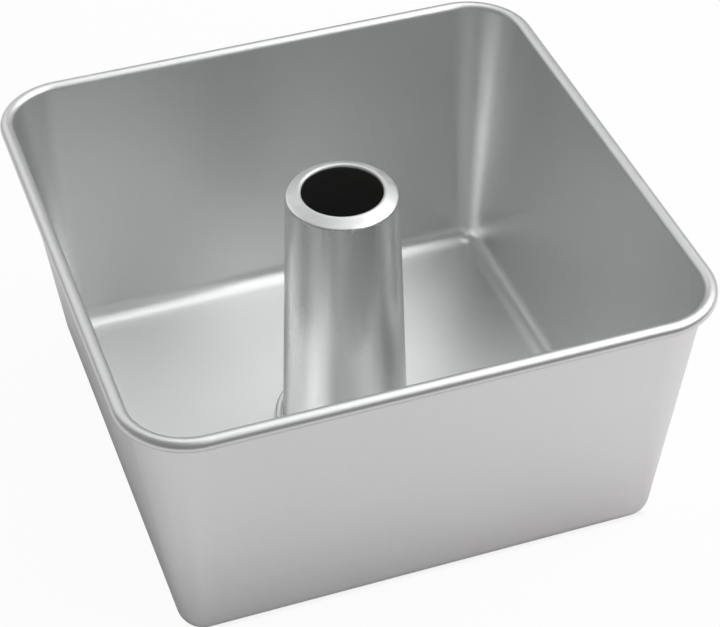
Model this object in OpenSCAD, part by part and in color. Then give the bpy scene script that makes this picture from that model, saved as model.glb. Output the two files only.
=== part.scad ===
// Square angel food cake pan with a fixed centre tube, in millimetres.
// The origin is the middle of the underside, and the pan stands on z = 0 with its mouth up.
// Both pieces are pressed from sheet, so each is drawn as the section of a bent sheet.

/* [Pan shell] */
// Outside width and depth of the pan, across the rolled rim
rim_w = 203.2; // [190:0.2:260]
// Height from the table to the top of the rim
pan_h = 104; // [60:0.2:140]
// Thickness of the shell's sheet
sheet_t = 1.2; // [0.8:0.1:1.5]
// Width and depth of the flat floor, between its edge fillets
floor_w = 156.4; // [140:0.2:170]
// Radius of the flat floor's corners, seen from above
floor_corner_r = 1.2; // [1:0.1:12]
// Inside radius where the floor turns up into the walls
fillet_r = 7; // [3:0.5:10]

/* [Rolled rim] */
// Outside diameter of the hollow bead that is curled outwards along the rim
bead_d = 4.2; // [3.8:0.1:8]
// Slit left between the bead's curled edge and the wall
curl_gap = 0.3; // [0.1:0.05:0.6]

/* [Centre tube] */
// Outside diameter of the tube just above its foot
tube_foot_d = 46; // [42:0.1:54]
// Outside diameter of the tube at its shoulder
tube_top_d = 39.4; // [36:0.1:42]
// How far the tube stands above the pan's rim
tube_proud = 2.2; // [0:0.1:30]
// Thickness of the tube's sheet
tube_t = 0.7; // [0.5:0.05:0.9]
// Diameter of the opening in the tube's top
mouth_d = 28.4; // [20:0.1:30]
// Outside radius of the lip that is turned down into the opening
lip_r = 1; // [1:0.1:2.5]
// How far the lip turns past upright at its edge, in degrees
lip_tuck = 12; // [0:1:40]
// How far the top face falls from the lip out to the shoulder
lip_drop = 1.8; // [0.5:0.1:4]
// Outside radius of the shoulder
shoulder_r = 1; // [1:0.1:3]

/* [Lock seam] */
// How far the flattened hem reaches out past the tube's foot
hem_w = 3; // [2.2:0.1:6]
// Radius of the hollow where the tube spreads into its hem
hem_fillet_r = 1.2; // [0.4:0.1:2]
// Inside radius of the hem's fold
fold_r = 0.1; // [0.05:0.05:0.3]
// How far the tube's neck steps in from its foot, where it passes through the floor
neck_inset = 1.2; // [0.5:0.1:3]
// How far the flange under the floor spreads out past the neck
flange_w = 2.2; // [1:0.1:4]
// Inside radius of the bends that grip the floor
grip_r = 0.3; // [0.1:0.05:0.4]
// Clearance between the floor's hole and the bends that grip it
hole_gap = 0.1; // [0.05:0.05:0.3]
// Height of the flange above the table
table_gap = 0.3; // [0.1:0.1:1]
// Inside radius of the bends in the raised seat's step
step_r = 0.4; // [0.2:0.1:0.6]
// Slope of the raised seat's step, in degrees
step_angle = 50; // [35:1:58]
// Room between the flange's edge and the start of the step
step_gap = 0.5; // [0.2:0.1:1]

/* [Hidden] */
$fn = 128;
shell_colour = [0.78, 0.78, 0.79];
tube_colour = [0.74, 0.75, 0.74];
// Largest turn between two points along a bend, in degrees
bend_step = 9;
// Headings of the path along a section, in degrees from the outward direction
outward = 0;
up = 90;

// All level sections of the shell are offsets of one square, whose corners are the corner axes
corner_axis = floor_w / 2 - floor_corner_r;
bead_r = bead_d / 2;
rim_reach = rim_w / 2 - corner_axis;

// The seat lifts the floor by enough to keep the flange off the table
seat_rise = tube_t + table_gap;
seat_top = sheet_t + seat_rise;
seat_under = seat_top - sheet_t;

// The neck, hem and flange are measured from the tube's foot, and the floor's hole from the neck
tube_h = pan_h + tube_proud;
foot_r = tube_foot_d / 2;
neck_r = foot_r - neck_inset;
flange_r = neck_r + flange_w;
hole_r = neck_r + grip_r + hole_gap;
seat_flat_r = flange_r + step_gap;
// Half the height of the hem, whose fold goes round two leaves of the tube's sheet
hem_r = tube_t + fold_r;

// A bent sheet's section is a chain of bends, followed with the sheet's first face on the left.
// A bend is [centre, radius of the first face], with the radius below zero where the sheet turns
// left. An end of the sheet is a bend of no radius. Straight runs lie tangent to their two bends.

// Heading of the straight run between two bends
function run_heading(a, b) =
    let (span = b[0] - a[0])
    atan2(span[1], span[0]) - asin((a[1] - b[1]) / norm(span));

// Headings before, between and after the bends of a chain
function headings(bends, first, last) = concat(
    [first],
    [for (i = [1:len(bends) - 1]) run_heading(bends[i - 1], bends[i])],
    [last]);

// Unit vector to the left of a heading
function left_of(heading) = [-sin(heading), cos(heading)];

// Points of one bend of a face that lies the given depth below the first face
function bend_face(bend, depth, from, to) =
    let (turn = to - from, steps = max(1, ceil(abs(turn) / bend_step)))
    abs(turn) < 0.001 || bend[1] == 0
        ? [bend[0] + (bend[1] - depth) * left_of(from)]
        : [for (i = [0:steps]) bend[0] + (bend[1] - depth) * left_of(from + turn * i / steps)];

// Points of a whole face of the sheet
function face(bends, depth, heads) =
    [for (i = [0:len(bends) - 1]) each bend_face(bends[i], depth, heads[i], heads[i + 1])];

function reversed(points) = [for (i = [len(points) - 1:-1:0]) points[i]];

module sheet_section(bends, thickness, first, last) {
    heads = headings(bends, first, last);
    polygon(concat(face(bends, 0, heads), reversed(face(bends, thickness, heads))));
}

// Floor edge, fillet, sloping wall and curled bead, measured outwards from a corner axis
module wall_section() {
    fillet = [[floor_corner_r, sheet_t + fillet_r], -fillet_r];
    bead = [[rim_reach - bead_r, pan_h - bead_r], bead_r];
    curl = 360 - acos((bead_r - sheet_t - curl_gap) / bead_r);
    sheet_section([[[0, sheet_t], 0], fillet, bead], sheet_t, outward, run_heading(fillet, bead) - curl);
}

// Raised seat round the floor's hole, from the hole's edge out to the flat floor
crest = [[seat_flat_r, seat_under - step_r], sheet_t + step_r];
crest_to_root_z = sheet_t + 2 * step_r - seat_rise;
crest_to_root_r = (sheet_t + 2 * step_r - crest_to_root_z * cos(step_angle)) / sin(step_angle);
root = [crest[0] + [crest_to_root_r, crest_to_root_z], -step_r];
seat_r = root[0][0] + step_r;

module seat_section() {
    hole_edge = [[hole_r, seat_top], 0];
    floor_edge = [[seat_r, sheet_t], 0];
    sheet_section([hole_edge, crest, root, floor_edge], sheet_t, outward, outward);
}

// One quarter of the upright shell: the wall that faces +X, and the corner at its +Y end
module wall_quarter() {
    translate([corner_axis, corner_axis, 0]) {
        rotate([90, 0, 0]) linear_extrude(2 * corner_axis) wall_section();
        rotate_extrude(angle = 90) wall_section();
    }
}

module floor_plate() {
    difference() {
        translate([-corner_axis, -corner_axis, 0]) cube([2 * corner_axis, 2 * corner_axis, sheet_t]);
        translate([0, 0, -sheet_t]) cylinder(h = 3 * sheet_t, r = seat_r);
    }
    rotate_extrude() seat_section();
}

// Deep-drawn shell: floor, four sloping walls with round corners, and the hollow rolled rim
module pan_shell() {
    color(shell_colour) {
        for (quarter = [0:3]) rotate([0, 0, 90 * quarter]) wall_quarter();
        floor_plate();
    }
}

// Lip, shoulder, tapered wall, flattened hem above the floor, neck, and flange under the floor
module tube_section() {
    lip = [[mouth_d / 2 + lip_r, tube_h - lip_r], lip_r];
    shoulder = [[tube_top_d / 2 - shoulder_r, tube_h - lip_drop - shoulder_r], shoulder_r];
    hollow = [[foot_r + hem_fillet_r, seat_top + 2 * hem_r + hem_fillet_r], -hem_fillet_r];
    fold = [[foot_r + hem_w - hem_r, seat_top + hem_r], hem_r];
    upper_grip = [[neck_r + grip_r, seat_top - grip_r], -grip_r];
    lower_grip = [[neck_r + grip_r, seat_under + grip_r], -grip_r];
    flange_edge = [[flange_r, seat_under], 0];
    sheet_section([lip, shoulder, hollow, fold, upper_grip, lower_grip, flange_edge],
        tube_t, up + lip_tuck, outward);
}

// Tapered tube, open right through, locked to the floor by its hem and its flange
module center_tube() {
    color(tube_colour) rotate_extrude() tube_section();
}

pan_shell();
center_tube();
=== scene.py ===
import math

import bmesh
import bpy
from mathutils import Matrix, Vector


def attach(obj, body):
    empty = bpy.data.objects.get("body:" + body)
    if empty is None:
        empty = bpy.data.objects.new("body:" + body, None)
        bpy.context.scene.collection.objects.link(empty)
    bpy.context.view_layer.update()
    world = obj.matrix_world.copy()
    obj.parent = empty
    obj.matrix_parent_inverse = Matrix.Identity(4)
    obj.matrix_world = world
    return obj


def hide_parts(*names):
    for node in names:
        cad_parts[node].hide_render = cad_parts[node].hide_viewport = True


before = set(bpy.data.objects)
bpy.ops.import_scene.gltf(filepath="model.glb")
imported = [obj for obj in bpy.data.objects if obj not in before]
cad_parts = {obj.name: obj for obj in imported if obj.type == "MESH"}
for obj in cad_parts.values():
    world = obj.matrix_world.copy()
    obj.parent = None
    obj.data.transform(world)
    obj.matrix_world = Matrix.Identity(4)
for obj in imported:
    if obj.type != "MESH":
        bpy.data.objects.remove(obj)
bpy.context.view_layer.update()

# A square angel food cake pan: a deep-drawn shell and a tapered centre tube, both pressed from
# aluminium sheet with a satin anodised face. Sizes are in millimetres, and the mesh is in metres.
MM = 0.001

# The shell, a hair inside the solid's outer size. BEAD is a radius, 0.3 more than the solid's.
RIM_WIDTH = 203.18
PAN_HEIGHT = 103.99
SHELL_SHEET = 1.2
FLOOR_WIDTH = 156.4
FLOOR_CORNER = 1.2
FILLET = 7.0
BEAD = 2.4
CURL_GAP = 0.3

# The centre tube, with its foot, top and mouth given as radii
TUBE_SHEET = 0.7
TUBE_FOOT = 23.0
TUBE_TOP = 19.7
TUBE_PROUD = 2.2
MOUTH = 14.2
LIP = 1.0
LIP_TUCK = 12.0
LIP_DROP = 1.8
SHOULDER = 1.0

# The lock seam between them
HEM_WIDTH = 3.0
HEM_HOLLOW = 1.2
FOLD = 0.1
NECK_INSET = 1.2
FLANGE = 2.2
GRIP = 0.3
HOLE_GAP = 0.1
TABLE_GAP = 0.3
STEP = 0.4
STEP_SLOPE = 50.0
STEP_GAP = 0.5

CORNER_AXIS = FLOOR_WIDTH / 2 - FLOOR_CORNER
RIM_REACH = RIM_WIDTH / 2 - CORNER_AXIS
FILLET_BEND = ((FLOOR_CORNER, SHELL_SHEET + FILLET), -FILLET)
BEAD_BEND = ((RIM_REACH - BEAD, PAN_HEIGHT - BEAD), BEAD)
SEAT_RISE = TUBE_SHEET + TABLE_GAP
SEAT_TOP = SHELL_SHEET + SEAT_RISE
NECK = TUBE_FOOT - NECK_INSET
FLANGE_EDGE = NECK + FLANGE
HEM_HALF = TUBE_SHEET + FOLD
TUBE_HEIGHT = PAN_HEIGHT + TUBE_PROUD

# The fine line that the rolling tool leaves round the wall, under the bead
TOOL_LINE_HEIGHT = 95.7
TOOL_LINE_DEPTH = 0.05
TOOL_LINE_LOOPS = (-0.9, -0.25, 0.0, 0.25, 0.9)

# How finely the bends are rolled, in degrees for each step
SECTION_STEP = 6.0
CORNER_STEPS = 30
TUBE_STEPS = 144
# A short run beside each bend keeps the flat of a wall flat in its shading
HOLDING_RUN = 0.6
LONGEST_HOLD = 0.25
# Points closer than the first are merged, and measures closer than the second count as equal
SAME_PLACE = 0.002
NEAR = 0.001
# Bends sharper than this, in degrees, are cut edges
SHARP = 40
# A point near the shell's level floor, which faces its open side
ON_THE_FLOOR = (60.0, 60.0, SHELL_SHEET)
# The heights between which the outer face is cut round, and the face's steepest lean
CUT_FROM = 20.0
CUT_UNDER_RIM = 5.0
STEEPEST_LEAN = -0.3


# Sheet forming

def heading_between(a, b):
    """Heading of the straight run that lies tangent to two bends of a section"""
    (a_out, a_up), a_radius = a
    (b_out, b_up), b_radius = b
    out, up = b_out - a_out, b_up - a_up
    return math.atan2(up, out) - math.asin((a_radius - b_radius) / math.hypot(out, up))


def on_bend(bend, heading):
    """The point of a bend's face at which the sheet has this heading"""
    (out, up), radius = bend
    return out - radius * math.sin(heading), up + radius * math.cos(heading)


def steps_for(turn):
    return max(2, math.ceil(abs(math.degrees(turn)) / SECTION_STEP))


def set_down():
    """Back to object mode with nothing selected, so that an operator meets only its own piece"""
    if bpy.context.object and bpy.context.object.mode != "OBJECT":
        bpy.ops.object.mode_set(mode="OBJECT")
    bpy.ops.object.select_all(action="DESELECT")


def take_up(piece):
    """The piece alone is selected, in object mode"""
    set_down()
    piece.select_set(True)
    bpy.context.view_layer.objects.active = piece


def pick(piece, wanted, kind="VERT"):
    """Selects the vertices or faces of the piece being edited that pass the test"""
    bpy.ops.mesh.select_all(action="DESELECT")
    bpy.ops.mesh.select_mode(type=kind)
    mesh = bmesh.from_edit_mesh(piece.data)
    for part in mesh.faces if kind == "FACE" else mesh.verts:
        part.select_set(bool(wanted(part)))
    mesh.select_flush_mode()
    bmesh.update_edit_mesh(piece.data)


def pull(out, up, across=0.0):
    """Extrudes what is selected by a step outwards, upwards or across"""
    bpy.ops.mesh.extrude_region_move(
        TRANSFORM_OT_translate={"value": (out * MM, across * MM, up * MM)})


def start_sheet(name, out, across, up):
    """A new piece: a small plane, merged to the first point of a section"""
    set_down()
    bpy.ops.mesh.primitive_plane_add(size=MM, location=(out * MM, across * MM, up * MM))
    piece = bpy.context.object
    piece.name = piece.data.name = name
    bpy.ops.object.transform_apply(location=True, rotation=True, scale=True)
    bpy.ops.object.mode_set(mode="EDIT")
    bpy.ops.mesh.select_mode(type="VERT")
    bpy.ops.mesh.select_all(action="SELECT")
    bpy.ops.mesh.merge(type="CENTER")
    return piece


def run_to(here, there):
    """A straight run of the section, with a short holding run at each of its ends"""
    out, up = there[0] - here[0], there[1] - here[1]
    length = math.hypot(out, up)
    if length < NEAR:
        return
    hold = HOLDING_RUN / length
    for share in (hold, 1 - 2 * hold, hold) if hold < LONGEST_HOLD else (1.0,):
        pull(out * share, up * share)


def draw_section(bends, first, last, axis=0.0):
    """Draws one face of a bent sheet, pulled along its straight runs and spun round its bends"""
    headings = [first] + [heading_between(a, b) for a, b in zip(bends, bends[1:])] + [last]
    here = on_bend(bends[0], first)
    for bend, arriving, leaving in zip(bends, headings, headings[1:]):
        run_to(here, on_bend(bend, arriving))
        (out, up), radius = bend
        turn = leaving - arriving
        if radius and abs(turn) > NEAR:
            bpy.ops.mesh.spin(steps=steps_for(turn), angle=turn, axis=(0, 1, 0),
                              center=((axis + out) * MM, axis * MM, up * MM))
        here = on_bend(bend, leaving)


def give_thickness(piece, sheet, open_side):
    """Turns the drawn face to its open side, and gives the sheet its thickness behind it"""
    bpy.ops.mesh.select_all(action="SELECT")
    bpy.ops.mesh.remove_doubles(threshold=SAME_PLACE * MM)
    bpy.ops.mesh.normals_make_consistent(inside=False)
    mesh = bmesh.from_edit_mesh(piece.data)
    place = Vector(open_side) * MM
    level = min(mesh.faces, key=lambda face: (face.calc_center_median() - place).length)
    if level.normal.z < 0:
        bpy.ops.mesh.flip_normals()
    take_up(piece)
    wall = piece.modifiers.new("sheet", "SOLIDIFY")
    wall.thickness = sheet * MM
    wall.offset = -1
    wall.use_even_offset = True
    wall.use_quality_normals = True
    bpy.ops.object.modifier_apply(modifier=wall.name)


def smooth_bends(piece):
    """Bends shade as round, and the sheet's cut edges stay sharp"""
    take_up(piece)
    bpy.ops.object.shade_smooth_by_angle(angle=math.radians(SHARP))


# The pan's shell

def draw_corner(piece, bends, last):
    """One corner is spun, and its two ends are pulled along the walls to the middle planes"""
    draw_section(bends, 0.0, last, CORNER_AXIS)
    bpy.ops.mesh.select_all(action="SELECT")
    bpy.ops.mesh.spin(steps=CORNER_STEPS, angle=-math.pi / 2, axis=(0, 0, 1),
                      center=(CORNER_AXIS * MM, CORNER_AXIS * MM, 0))
    bpy.ops.mesh.select_all(action="SELECT")
    bpy.ops.mesh.remove_doubles(threshold=SAME_PLACE * MM)
    axis = CORNER_AXIS * MM
    for along, beside in ((0, 1), (1, 0)):
        pick(piece, lambda vert: abs(vert.co[along] - axis) < NEAR * MM
             and vert.co[beside] > axis - NEAR * MM)
        for step in (HOLDING_RUN, CORNER_AXIS - HOLDING_RUN):
            pull(-step if along == 0 else 0, 0, -step if along == 1 else 0)


def mirror_corner(piece):
    take_up(piece)
    corners = piece.modifiers.new("corners", "MIRROR")
    corners.use_axis = (True, True, False)
    corners.merge_threshold = SAME_PLACE * MM
    bpy.ops.object.modifier_apply(modifier=corners.name)
    bpy.ops.object.mode_set(mode="EDIT")


def seat_rings():
    """Radius and height of the rings from the floor's hole out to the flat floor"""
    slope = math.radians(STEP_SLOPE)
    fall = SHELL_SHEET + 2 * STEP - SEAT_RISE
    reach = (SHELL_SHEET + 2 * STEP - fall * math.cos(slope)) / math.sin(slope)
    crest = ((FLANGE_EDGE + STEP_GAP, SEAT_TOP - SHELL_SHEET - STEP), SHELL_SHEET + STEP)
    root = ((crest[0][0] + reach, crest[0][1] + fall), -STEP)
    rings = [(NECK + GRIP + HOLE_GAP, SEAT_TOP)]
    for bend, arriving, leaving in ((crest, 0.0, -slope), (root, -slope, 0.0)):
        steps = steps_for(slope)
        rings += [on_bend(bend, arriving + (leaving - arriving) * i / steps) for i in range(steps + 1)]
    return rings + [(root[0][0] + HOLDING_RUN, SHELL_SHEET)]


def raise_seat(piece):
    """The seat starts as the hole's edge, is drawn out and down, and is bridged to the floor"""
    rings = seat_rings()
    bpy.ops.mesh.select_all(action="DESELECT")
    bpy.ops.mesh.primitive_circle_add(
        vertices=TUBE_STEPS, radius=rings[0][0] * MM, location=(0, 0, SEAT_TOP * MM))
    for (radius, height), (wider, lower) in zip(rings, rings[1:]):
        pull(0, lower - height)
        bpy.ops.transform.resize(value=(wider / radius, wider / radius, 1),
                                 center_override=(0, 0, lower * MM))
    seat_edge = rings[-1][0]

    def on_floor_edge(vert):
        x, y, z = vert.co / MM
        far = max(abs(x), abs(y))
        on_seat = abs(math.hypot(x, y) - seat_edge) < NEAR
        return abs(z - SHELL_SHEET) < NEAR and (on_seat or abs(far - CORNER_AXIS) < NEAR)

    pick(piece, on_floor_edge)
    bpy.ops.mesh.select_mode(type="EDGE")
    bpy.ops.mesh.bridge_edge_loops()


def press_tool_line(piece):
    """The outer face is cut round at five heights, and the middle cut is pressed in"""
    take_up(piece)
    bpy.ops.object.mode_set(mode="EDIT")

    def on_outer_wall(face):
        middle = face.calc_center_median()
        outward = middle.x * face.normal.x + middle.y * face.normal.y
        steep = STEEPEST_LEAN < face.normal.z < 0
        return outward > 0 and steep and CUT_FROM < middle.z / MM < PAN_HEIGHT - CUT_UNDER_RIM

    for step in TOOL_LINE_LOOPS:
        pick(piece, on_outer_wall, "FACE")
        bpy.ops.mesh.bisect(plane_co=(0, 0, (TOOL_LINE_HEIGHT + step) * MM), plane_no=(0, 0, 1))
    height = TOOL_LINE_HEIGHT * MM
    pick(piece, lambda vert: abs(vert.co.z - height) < NEAR * MM)
    bpy.ops.transform.shrink_fatten(value=-TOOL_LINE_DEPTH * MM)


def form_shell():
    curl = 2 * math.pi - math.acos((BEAD - SHELL_SHEET - CURL_GAP) / BEAD)
    corner = ((0.0, SHELL_SHEET), 0.0)
    piece = start_sheet("pressed_shell", CORNER_AXIS, CORNER_AXIS, SHELL_SHEET)
    draw_corner(piece, [corner, FILLET_BEND, BEAD_BEND], heading_between(FILLET_BEND, BEAD_BEND) - curl)
    mirror_corner(piece)
    raise_seat(piece)
    give_thickness(piece, SHELL_SHEET, ON_THE_FLOOR)
    press_tool_line(piece)
    smooth_bends(piece)
    return piece


# The centre tube

def form_tube():
    lip = ((MOUTH + LIP, TUBE_HEIGHT - LIP), LIP)
    shoulder = ((TUBE_TOP - SHOULDER, TUBE_HEIGHT - LIP_DROP - SHOULDER), SHOULDER)
    hollow = ((TUBE_FOOT + HEM_HOLLOW, SEAT_TOP + 2 * HEM_HALF + HEM_HOLLOW), -HEM_HOLLOW)
    fold = ((TUBE_FOOT + HEM_WIDTH - HEM_HALF, SEAT_TOP + HEM_HALF), HEM_HALF)
    upper_grip = ((NECK + GRIP, SEAT_TOP - GRIP), -GRIP)
    lower_grip = ((NECK + GRIP, SEAT_RISE + GRIP), -GRIP)
    flange_edge = ((FLANGE_EDGE, SEAT_RISE), 0.0)
    first = math.radians(90 + LIP_TUCK)
    mouth, top = on_bend(lip, first)
    piece = start_sheet("rolled_centre_tube", mouth, 0.0, top)
    draw_section([lip, shoulder, hollow, fold, upper_grip, lower_grip, flange_edge], first, 0.0)
    bpy.ops.mesh.select_all(action="SELECT")
    bpy.ops.mesh.spin(steps=TUBE_STEPS, angle=2 * math.pi, axis=(0, 0, 1), center=(0, 0, 0))
    give_thickness(piece, TUBE_SHEET, (MOUTH + LIP + 1, 0.0, TUBE_HEIGHT))
    smooth_bends(piece)
    return piece


# Wiring of finishes

class Wire:
    """A shader socket that takes part in ordinary sums, each of which adds a Math node"""

    def __init__(self, wiring, socket):
        self.wiring = wiring
        self.socket = socket

    def worked(self, operation, *values):
        return self.wiring.add("ShaderNodeMath", {"operation": operation}, dict(enumerate(values)))

    def __add__(self, other):
        return self.worked("ADD", self, other)

    def __sub__(self, other):
        return self.worked("SUBTRACT", self, other)

    def __rsub__(self, other):
        return self.worked("SUBTRACT", other, self)

    def __mul__(self, other):
        return self.worked("MULTIPLY", self, other)

    def __abs__(self):
        return self.worked("ABSOLUTE", self)

    def or_more(self, other):
        return self.worked("MAXIMUM", self, other)

    __radd__ = __add__
    __rmul__ = __mul__


class Wiring:
    """The node tree of a finish, in which every node is made by add"""

    def __init__(self, owner):
        owner.use_nodes = True
        self.tree = owner.node_tree
        self.tree.nodes.clear()

    def add(self, kind, settings=None, sockets=None, take=0):
        node = self.tree.nodes.new(kind)
        for setting, value in (settings or {}).items():
            setattr(node, setting, value)
        for socket, value in (sockets or {}).items():
            if isinstance(value, Wire):
                self.tree.links.new(value.socket, node.inputs[socket])
            else:
                node.inputs[socket].default_value = value
        return Wire(self, node.outputs[take]) if node.outputs else None

    def place(self):
        """The piece's own coordinates, and their three parts, in metres"""
        vector = self.add("ShaderNodeTexCoord", take="Object")
        parts = [self.add("ShaderNodeSeparateXYZ", {}, {0: vector}, take) for take in "XYZ"]
        return vector, parts

    def fade(self, value, low, high):
        """0 up to the low end and 1 from the high end on, with a soft change between"""
        return self.add("ShaderNodeMapRange", {"interpolation_type": "SMOOTHSTEP"},
                        {"Value": value, "From Min": low, "From Max": high})

    def speckle(self, vector, scale, detail=2.0):
        """Noise about zero"""
        return self.add("ShaderNodeTexNoise", {}, {
            "Vector": vector, "Scale": scale, "Detail": detail}) - 0.5

    def stretched(self, vector, stretch):
        return self.add("ShaderNodeMapping", {}, {"Vector": vector, "Scale": stretch})

    def between(self, share, first, second):
        """A colour between two others"""
        return self.add("ShaderNodeMix", {"data_type": "RGBA"}, {
            0: share, 6: (*first, 1), 7: (*second, 1)}, 2)


# Finishes

# Colours of the satin face between its darkest and lightest clouds, and of its painted shade under the
# bead and in the bore
SATIN_DARK = (0.764, 0.774, 0.770)
SATIN_LIGHT = (0.834, 0.841, 0.839)
UNDER_BEAD_PAINTED_SHADE = (0.7, 0.7, 0.695)
BORE_PAINTED_SHADE = (0.55, 0.55, 0.545)

# Sizes of the marks, as noise per metre: clouds, grain, mottling of the worked edges, marks that are
# drawn up the walls, and scuffs on the face that the pan stands on
CLOUDS = 32
GRAIN = 2400
MOTTLE = 260
DRAWN = (650, 650, 14)
SCUFFS = (90, 420, 1)
RELIEF = 0.003

# Roughness of the satin, how much rougher the worked edges are, and where those start
SHELL_SATIN = 0.38
SHELL_EDGE = 0.1
SHELL_EDGE_FROM = 102.6
TUBE_SATIN = 0.26
TUBE_EDGE = 0.4
TUBE_EDGE_FROM = 104.0
EDGE_FADE = 0.8
WALLS_FROM = 4.0
WALLS_FADE = 8.0
STOOD_ON = (0.1, 0.5)

# Where shade is painted: under the bead, below the rolled rim, and in the bore, from its face inwards
CURL_REACH = 0.8
CURL_FADE = (1.4, 1.2)
WALL_FADE = 0.2
BORE_FADE = (-0.45, -0.15)
BORE_ENDS = (99.0, 103.0)


def satin_aluminium(name, satin, edge_satin, edge_from, shade, dark):
    """Satin anodised aluminium: fine grain, faint marks drawn up the walls, matt worked edges, and
    painted shade, in the colour dark, where the mask that shade gives is 1
    """
    material = bpy.data.materials.new(name)
    w = Wiring(material)
    vector, (x, y, z) = w.place()
    clouds = w.speckle(vector, CLOUDS, 3)
    grain = w.speckle(vector, GRAIN, 1)
    walls = w.fade(z, WALLS_FROM * MM, (WALLS_FROM + WALLS_FADE) * MM)
    drawn = w.speckle(w.stretched(vector, DRAWN), 1, 2) * walls
    edge = w.fade(z, edge_from * MM, (edge_from + EDGE_FADE) * MM)
    edge = edge * (0.75 + w.speckle(vector, MOTTLE))
    scuffs = w.speckle(w.stretched(vector, SCUFFS), 1, 4)
    stood_on = (1 - w.fade(z, STOOD_ON[0] * MM, STOOD_ON[1] * MM)) * (0.6 + scuffs)

    tone = 0.5 + 0.5 * clouds + 0.35 * drawn + 0.1 * grain - 0.3 * edge - 0.5 * stood_on
    colour = w.between(tone, SATIN_DARK, SATIN_LIGHT)
    roughness = satin + 0.05 * clouds + 0.05 * grain + 0.05 * drawn + edge_satin * edge
    roughness = roughness - 0.08 * stood_on
    # Shade is painted into the colour here: under the bead on the shell, and in the bore of the tube
    painted_shade_mask = shade(w, vector, (x, y, z))
    colour = w.add("ShaderNodeMix", {"data_type": "RGBA"}, {0: painted_shade_mask, 6: colour, 7: (*dark, 1)}, 2)
    roughness = roughness + 0.1 * painted_shade_mask
    relief = grain + 0.8 * drawn + 1.5 * stood_on
    bump = w.add("ShaderNodeBump", {}, {"Strength": 1.0, "Distance": RELIEF * MM, "Height": relief})
    shader = w.add("ShaderNodeBsdfPrincipled", {}, {
        "Base Color": colour, "Roughness": roughness, "Metallic": 1.0, "Normal": bump})
    w.add("ShaderNodeOutputMaterial", {}, {"Surface": shader})
    return material


def painted_shade_under_bead(w, vector, place):
    """1 on the outside just under the bead, where shade is painted darker into the colour"""
    x, y, z = place
    past = [(abs(part) - CORNER_AXIS * MM).or_more(0.0) for part in (x, y)]
    reach = w.add("ShaderNodeCombineXYZ", {}, {0: past[0], 1: past[1]})
    out = w.add("ShaderNodeVectorMath", {"operation": "LENGTH"}, {0: reach}, "Value")
    lean = 1 / math.tan(heading_between(FILLET_BEND, BEAD_BEND))
    wall = RIM_REACH - 2 * BEAD + SHELL_SHEET / 2
    depth = out + lean * ((PAN_HEIGHT - BEAD) * MM - z)
    outside = w.fade(depth, (wall - WALL_FADE) * MM, (wall + WALL_FADE) * MM)
    low, high = PAN_HEIGHT - 2 * BEAD - CURL_REACH, PAN_HEIGHT - BEAD
    above_low = w.fade(z, low * MM, (low + CURL_FADE[0]) * MM)
    return outside * above_low * (1 - w.fade(z, (high - CURL_FADE[1]) * MM, high * MM))


def painted_shade_in_bore(w, vector, place):
    """1 on the tube's inner face, where shade is painted darker into the colour of the bore"""
    z = place[2]
    taper = (TUBE_FOOT - TUBE_TOP) / TUBE_HEIGHT
    flat = w.stretched(vector, (1, 1, 0))
    radius = w.add("ShaderNodeVectorMath", {"operation": "LENGTH"}, {0: flat}, "Value")
    depth_in = radius + taper * z
    within, without = ((TUBE_FOOT + depth) * MM for depth in BORE_FADE)
    bottom, top = (end * MM for end in BORE_ENDS)
    return (1 - w.fade(depth_in, within, without)) * (1 - w.fade(z, bottom, top))


def dress(piece, material, node):
    piece.data.materials.append(material)
    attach(piece, "root")
    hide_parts(node)


# The shell gets painted shade under its bead, and the tube gets painted shade in its bore
shell_finish = satin_aluminium(
    "satin_shell", SHELL_SATIN, SHELL_EDGE, SHELL_EDGE_FROM, painted_shade_under_bead, UNDER_BEAD_PAINTED_SHADE)
tube_finish = satin_aluminium(
    "satin_tube", TUBE_SATIN, TUBE_EDGE, TUBE_EDGE_FROM, painted_shade_in_bore, BORE_PAINTED_SHADE)
dress(form_shell(), shell_finish, "pan_shell")
dress(form_tube(), tube_finish, "center_tube")


# The studio

# Share of plain white that shows in place of the lit table or the dim room, straight on and in gloss,
# and how bright the dim room is
WHITE_SEEN = 0.95
TABLE_WHITE_IN_GLOSS = 0.24
ROOM_WHITE_IN_GLOSS = 0.05
ROOM_LIGHT = 0.2

# The table is a little below the pan, so that the two faces don't flicker where they touch
TABLE_SIZE = 12
TABLE_BELOW = 0.05
PALE = (0.88, 0.845, 0.865)
DARK_IN_FRONT = (0.3, 0.3, 0.3)
# Distances at which its white starts and is full, straight on and in gloss, which leaves a painted
# shadow round and under the pan, and its front darkens
WHITE_FROM = 70.0
WHITE_FULL = 85.0
GLOSS_FULL = 125.0
FRONT = (-450.0, -200.0)


def seen_white(w):
    """Whether a ray comes straight from the camera, or by gloss or through glass"""
    straight, gloss, through = (
        w.add("ShaderNodeLightPath", take=kind)
        for kind in ("Is Camera Ray", "Is Glossy Ray", "Is Transmission Ray"))
    return straight, gloss.or_more(through)


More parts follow.
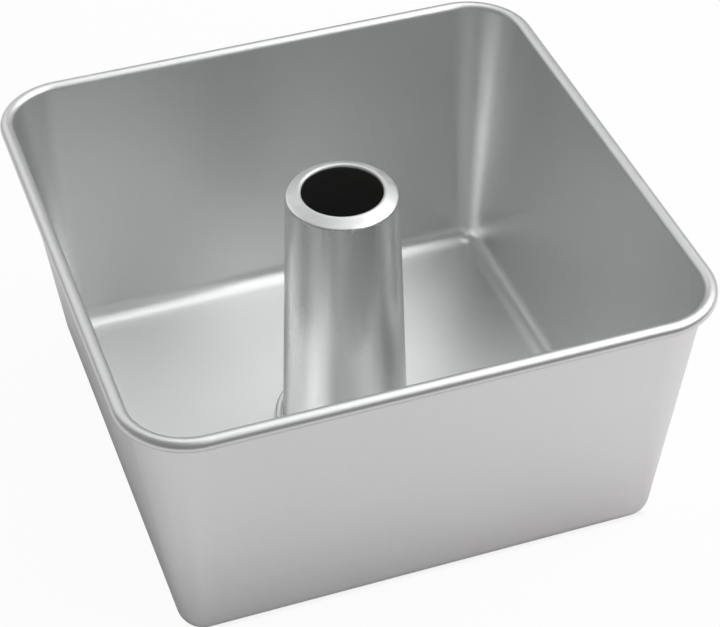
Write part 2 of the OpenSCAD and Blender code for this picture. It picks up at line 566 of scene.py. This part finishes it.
def lay_table():
    set_down()
    bpy.ops.mesh.primitive_plane_add(size=TABLE_SIZE, location=(0, 0, -TABLE_BELOW * MM))
    table = bpy.context.object
    table.name = "table"
    material = bpy.data.materials.new("pale_table")
    w = Wiring(material)
    vector, (x, y, z) = w.place()
    away = abs(x).or_more(abs(y))
    straight, gloss = seen_white(w)
    in_front = 1 - w.fade(y, FRONT[0] * MM, FRONT[1] * MM)
    # The white fades out near and under the pan: a painted shadow round its foot, straight on and in
    # gloss
    seen = w.fade(away, WHITE_FROM * MM, WHITE_FULL * MM)
    in_gloss = w.fade(away, WHITE_FROM * MM, GLOSS_FULL * MM) - in_front
    pale = w.add("ShaderNodeBsdfDiffuse", {}, {"Color": (*PALE, 1)})
    dark = w.add("ShaderNodeBsdfDiffuse", {}, {"Color": (*DARK_IN_FRONT, 1)})
    matt = w.add("ShaderNodeMixShader", {}, {0: in_front, 1: pale, 2: dark})
    bright = w.add("ShaderNodeEmission", {}, {"Color": (1, 1, 1, 1), "Strength": 1.0})
    # Its first shader is left empty, which is black, so the white fades out there
    white = w.add("ShaderNodeMixShader", {}, {0: straight * seen + gloss * in_gloss, 2: bright})
    mixed = w.add("ShaderNodeMixShader", {}, {
        0: straight * WHITE_SEEN + gloss * TABLE_WHITE_IN_GLOSS, 1: matt, 2: white})
    w.add("ShaderNodeOutputMaterial", {}, {"Surface": mixed})
    table.data.materials.append(material)


def fill_room():
    world = bpy.data.worlds.new("studio")
    w = Wiring(world)
    straight, gloss = seen_white(w)
    dim = w.add("ShaderNodeBackground", {}, {"Color": (1, 1, 1, 1), "Strength": ROOM_LIGHT})
    white = w.add("ShaderNodeBackground", {}, {"Color": (1, 1, 1, 1), "Strength": 1.0})
    mixed = w.add("ShaderNodeMixShader", {}, {
        0: straight + gloss * ROOM_WHITE_IN_GLOSS, 1: dim, 2: white})
    w.add("ShaderNodeOutputWorld", {}, {"Surface": mixed})
    bpy.context.scene.world = world


# The camera's turns in degrees, and its place and lens in millimetres
CAMERA_AZIMUTH = -19.07
CAMERA_HEIGHT = 40.53
CAMERA_ROLL = -0.46
CAMERA_PLACE = (-194.197, -579.260, 572.980)
LENS = 112.537
SENSOR = 36
# In metres, the nearest that it sees and how far off the lamps hang, and in millimetres, the height
# above the table that they face
NEAREST_SEEN = 0.01
LAMP_DISTANCE = 1.5
LAMP_AIM = 50.0


def direction(azimuth, height):
    """From the pan towards a place round it, with azimuth 0 in front and 90 on its right"""
    azimuth, height = math.radians(azimuth), math.radians(height)
    return Vector((math.sin(azimuth) * math.cos(height), -math.cos(azimuth) * math.cos(height),
                   math.sin(height)))


def hang_lamp(name, azimuth, height, width, level):
    """A round soft light that faces the pan, with its azimuth counted from the camera's"""
    towards = direction(CAMERA_AZIMUTH + azimuth, height)
    lamp = bpy.data.lights.new(name, "AREA")
    lamp.shape = "DISK"
    lamp.size = width
    lamp.energy = level * math.pi * math.pi * (width / 2) ** 2
    hung = bpy.data.objects.new(name, lamp)
    hung.location = towards * LAMP_DISTANCE + Vector((0, 0, LAMP_AIM * MM))
    hung.rotation_euler = (-towards).to_track_quat("-Z", "Y").to_euler()
    bpy.context.scene.collection.objects.link(hung)


def set_camera():
    scene = bpy.context.scene
    back = direction(CAMERA_AZIMUTH, CAMERA_HEIGHT)
    level_right = Vector((0, 0, 1)).cross(back).normalized()
    turn = Matrix.Rotation(math.radians(CAMERA_ROLL), 3, back)
    right = turn @ level_right
    above = back.cross(right)
    lens = bpy.data.cameras.new("camera")
    lens.sensor_fit = "HORIZONTAL"
    lens.sensor_width = SENSOR
    lens.lens = LENS
    lens.clip_start = NEAREST_SEEN
    camera = bpy.data.objects.new("camera", lens)
    scene.collection.objects.link(camera)
    turned = Matrix((right, above, back)).transposed().to_4x4()
    camera.matrix_world = Matrix.Translation(Vector(CAMERA_PLACE) * MM) @ turned
    scene.camera = camera
    scene.view_settings.view_transform = "Standard"


lay_table()
fill_room()
hang_lamp("key_light", 100, 40, 0.9, 3.2)
hang_lamp("right_fill", 60, 40, 0.6, 2.9)
hang_lamp("high_right_fill", 60, 60, 0.6, 2.0)
hang_lamp("rear_right_fill", 135, 62, 1.5, 1.28)
hang_lamp("rear_left_fill", -135, 35, 1.5, 0.72)
hang_lamp("high_left_fill", -120, 78, 0.6, 1.1)
set_camera()
